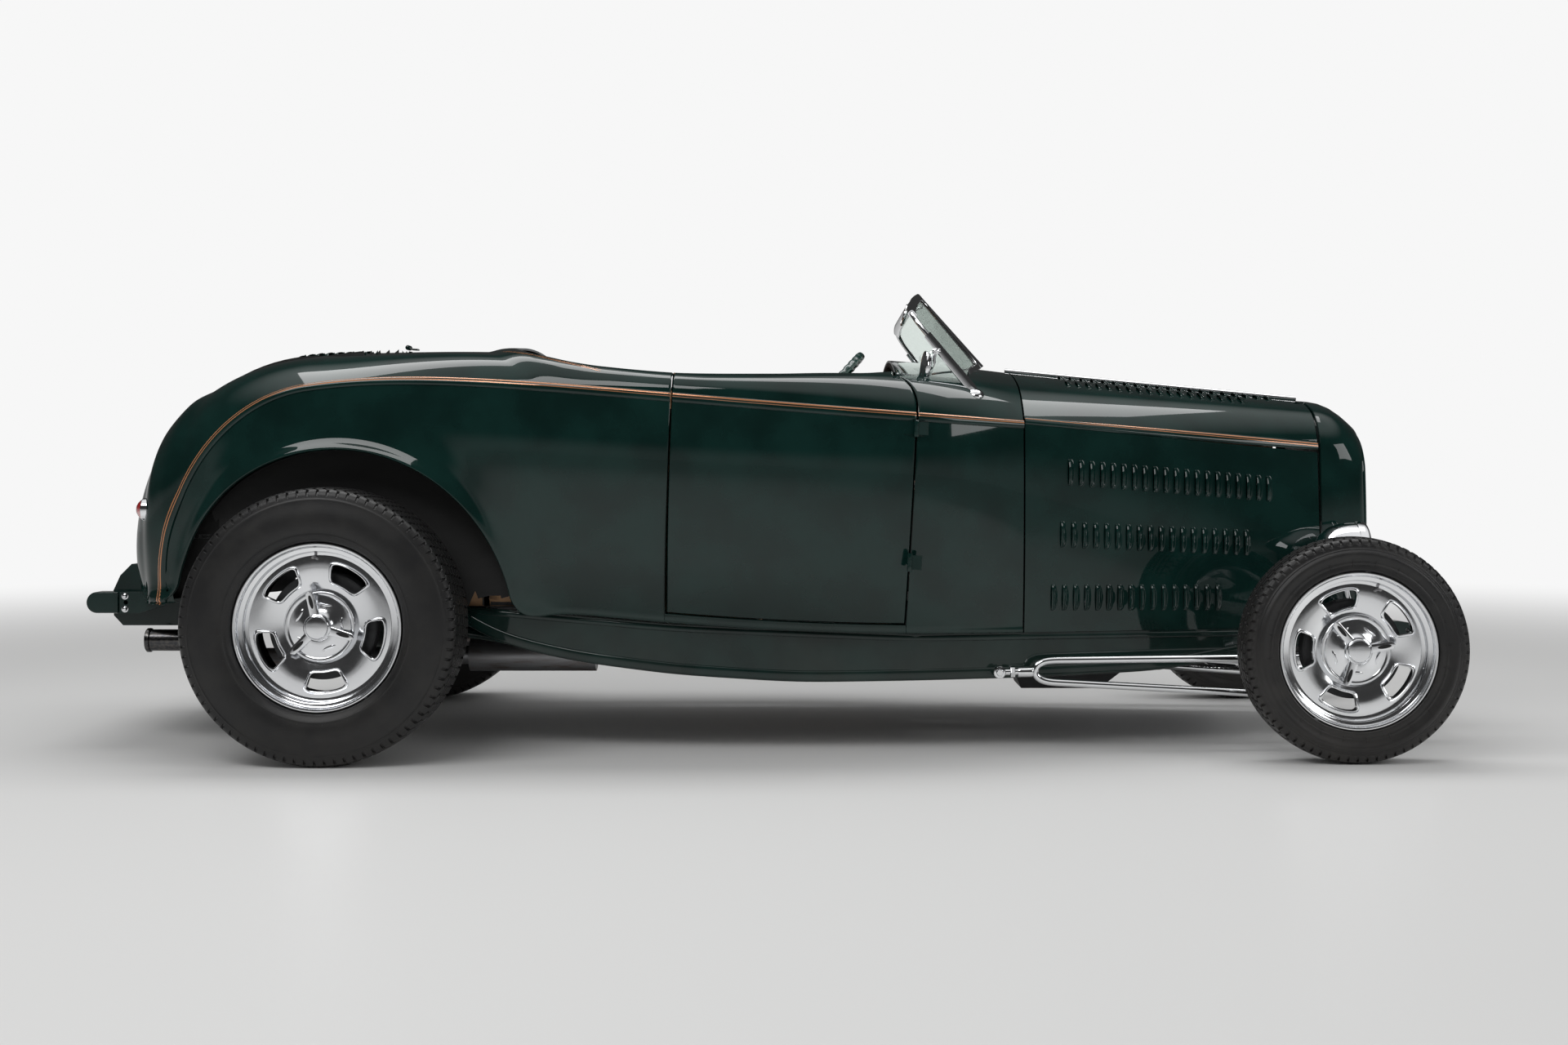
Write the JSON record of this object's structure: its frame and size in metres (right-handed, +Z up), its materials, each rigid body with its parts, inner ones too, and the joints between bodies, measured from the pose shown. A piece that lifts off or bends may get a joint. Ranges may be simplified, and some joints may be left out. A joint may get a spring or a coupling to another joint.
{
  "type": "street rod roadster",
  "caption": "Open two-seat fenderless street rod with louvred hood, veed windscreen, opening doors, deck lid and hood tops, and coupled steering.",
  "frame": {"origin": "on the ground, midway between the tips of the front and rear frame horns, on the centre line", "axes": "+X forward, +Y to the car's left, +Z up"},
  "size_m": [3.82, 1.69, 1.2882],
  "materials": {
    "body_paint": "deep green-black gloss enamel with copper pinstripes",
    "chassis_paint": "deep green-black gloss enamel",
    "chrome": "bright plated",
    "polished_alloy": "polished cast alloy",
    "tyre": "black side walls, block tread",
    "glass": "pale green laminated glass",
    "red_lens": "red lamp lens",
    "upholstery": "tan pleated leather",
    "cast_metal": "painted castings",
    "steel": "plain steel pipe and core",
    "wheel_rim_wrap": "dark green moulded rim"
  },
  "bodies": {
    "chassis": {"frame": "chassis_paint", "crossmembers": "chassis_paint", "spreader_bars": "chassis_paint", "fuel_tank": "chassis_paint", "body_tub": "body_paint", "body_hinges": "body_paint", "floor_pan": "chassis_paint", "dashboard": "body_paint", "seat_cushion": "upholstery", "seat_back": "upholstery", "windscreen_frame": "chrome", "windscreen_glass": "glass", "mirror": "chrome", "grille_shell": "body_paint", "grille_insert": "body_paint", "radiator": "steel", "headlamps": "chrome", "tail_lamps": "red_lens", "hood_sides": "body_paint", "hood_hinge": "chrome", "engine": "cast_metal", "driveshaft": "steel", "exhaust": "steel", "front_axle": "chrome", "front_spring": "chrome", "hairpins": "chrome", "rear_axle": "chassis_paint", "rear_suspension": "chassis_paint", "steering_column": "chrome", "steering_box": "chassis_paint"},
    "door_right": {"door_right": "body_paint"},
    "door_left": {"door_left": "body_paint"},
    "deck_lid": {"deck_lid": "body_paint"},
    "hood_top_right": {"hood_top_right": "body_paint"},
    "hood_top_left": {"hood_top_left": "body_paint"},
    "steering_wheel": {"steering_wheel": "wheel_rim_wrap"},
    "pitman_arm": {"pitman_arm": "chassis_paint"},
    "knuckle_left": {"knuckle_left": "chrome"},
    "knuckle_right": {"knuckle_right": "chrome"},
    "steering_linkage": {"tie_rod": "chrome", "drag_link": "chrome"},
    "wheel_rear_right": {"tyre_rear_right": "tyre", "wheel_rear_right": "polished_alloy"},
    "wheel_rear_left": {"tyre_rear_left": "tyre", "wheel_rear_left": "polished_alloy"},
    "wheel_front_right": {"tyre_front_right": "tyre", "wheel_front_right": "polished_alloy"},
    "wheel_front_left": {"tyre_front_left": "tyre", "wheel_front_left": "polished_alloy"}
  },
  "joints": [
    {"name": "door_right_hinge", "type": "hinge", "parent": "chassis", "child": "door_right", "pos_m": [0.386, -0.655, 0.876], "axis": [0.0505, 0, 0.9987], "range_deg": [0, 65]},
    {"name": "door_left_hinge", "type": "hinge", "parent": "chassis", "child": "door_left", "pos_m": [0.386, 0.655, 0.876], "axis": [-0.0505, 0, -0.9987], "range_deg": [0, 65]},
    {"name": "deck_lid_hinge", "type": "hinge", "parent": "chassis", "child": "deck_lid", "pos_m": [-1.0425, 0, 1.113], "axis": [0, 1, 0], "range_deg": [0, 55]},
    {"name": "hood_right_hinge", "type": "hinge", "parent": "chassis", "child": "hood_top_right", "pos_m": [0.685, 0, 1.057], "axis": [-0.9955, 0, 0.095], "range_deg": [0, 70]},
    {"name": "hood_left_hinge", "type": "hinge", "parent": "chassis", "child": "hood_top_left", "pos_m": [0.685, 0, 1.057], "axis": [0.9955, 0, -0.095], "range_deg": [0, 70]},
    {"name": "steer_left", "type": "hinge", "parent": "chassis", "child": "knuckle_left", "pos_m": [1.527, 0.6, 0.296], "axis": [0, 0, 1], "range_deg": [-25, 25]},
    {"name": "steer_right", "type": "hinge", "parent": "chassis", "child": "knuckle_right", "pos_m": [1.527, -0.6, 0.296], "axis": [0, 0, 1], "range_deg": [-25, 25]},
    {"name": "tie_rod_pivot", "type": "hinge", "parent": "knuckle_left", "child": "steering_linkage", "pos_m": [1.392, 0.6, 0.205], "axis": [0, 0, 1], "range_deg": [-25, 25]},
    {"name": "pitman_pivot", "type": "hinge", "parent": "chassis", "child": "pitman_arm", "pos_m": [1.165, 0.32, 0.17], "axis": [0, 0, 1], "range_deg": [-25, 25]},
    {"name": "steering_wheel_turn", "type": "hinge", "parent": "chassis", "child": "steering_wheel", "pos_m": [0.148, 0.35, 0.989], "axis": [-0.7431, 0, 0.6691], "range_deg": [-350, 350]},
    {"name": "wheel_rear_right_spin", "type": "hinge", "parent": "chassis", "child": "wheel_rear_right", "pos_m": [-1.165, -0.727, 0.361], "axis": [0, 1, 0], "continuous": true},
    {"name": "wheel_front_right_spin", "type": "hinge", "parent": "knuckle_right", "child": "wheel_front_right", "pos_m": [1.527, -0.711, 0.296], "axis": [0, 1, 0], "continuous": true},
    {"name": "wheel_rear_left_spin", "type": "hinge", "parent": "chassis", "child": "wheel_rear_left", "pos_m": [-1.165, 0.727, 0.361], "axis": [0, 1, 0], "continuous": true},
    {"name": "wheel_front_left_spin", "type": "hinge", "parent": "knuckle_left", "child": "wheel_front_left", "pos_m": [1.527, 0.711, 0.296], "axis": [0, 1, 0], "continuous": true}
  ],
  "couplings": [
    {"joint": "steer_right", "follows": "steer_left", "ratio": 1},
    {"joint": "tie_rod_pivot", "follows": "steer_left", "ratio": -1},
    {"joint": "pitman_pivot", "follows": "steer_left", "ratio": 1},
    {"joint": "steering_wheel_turn", "follows": "steer_left", "ratio": 14}
  ]
}
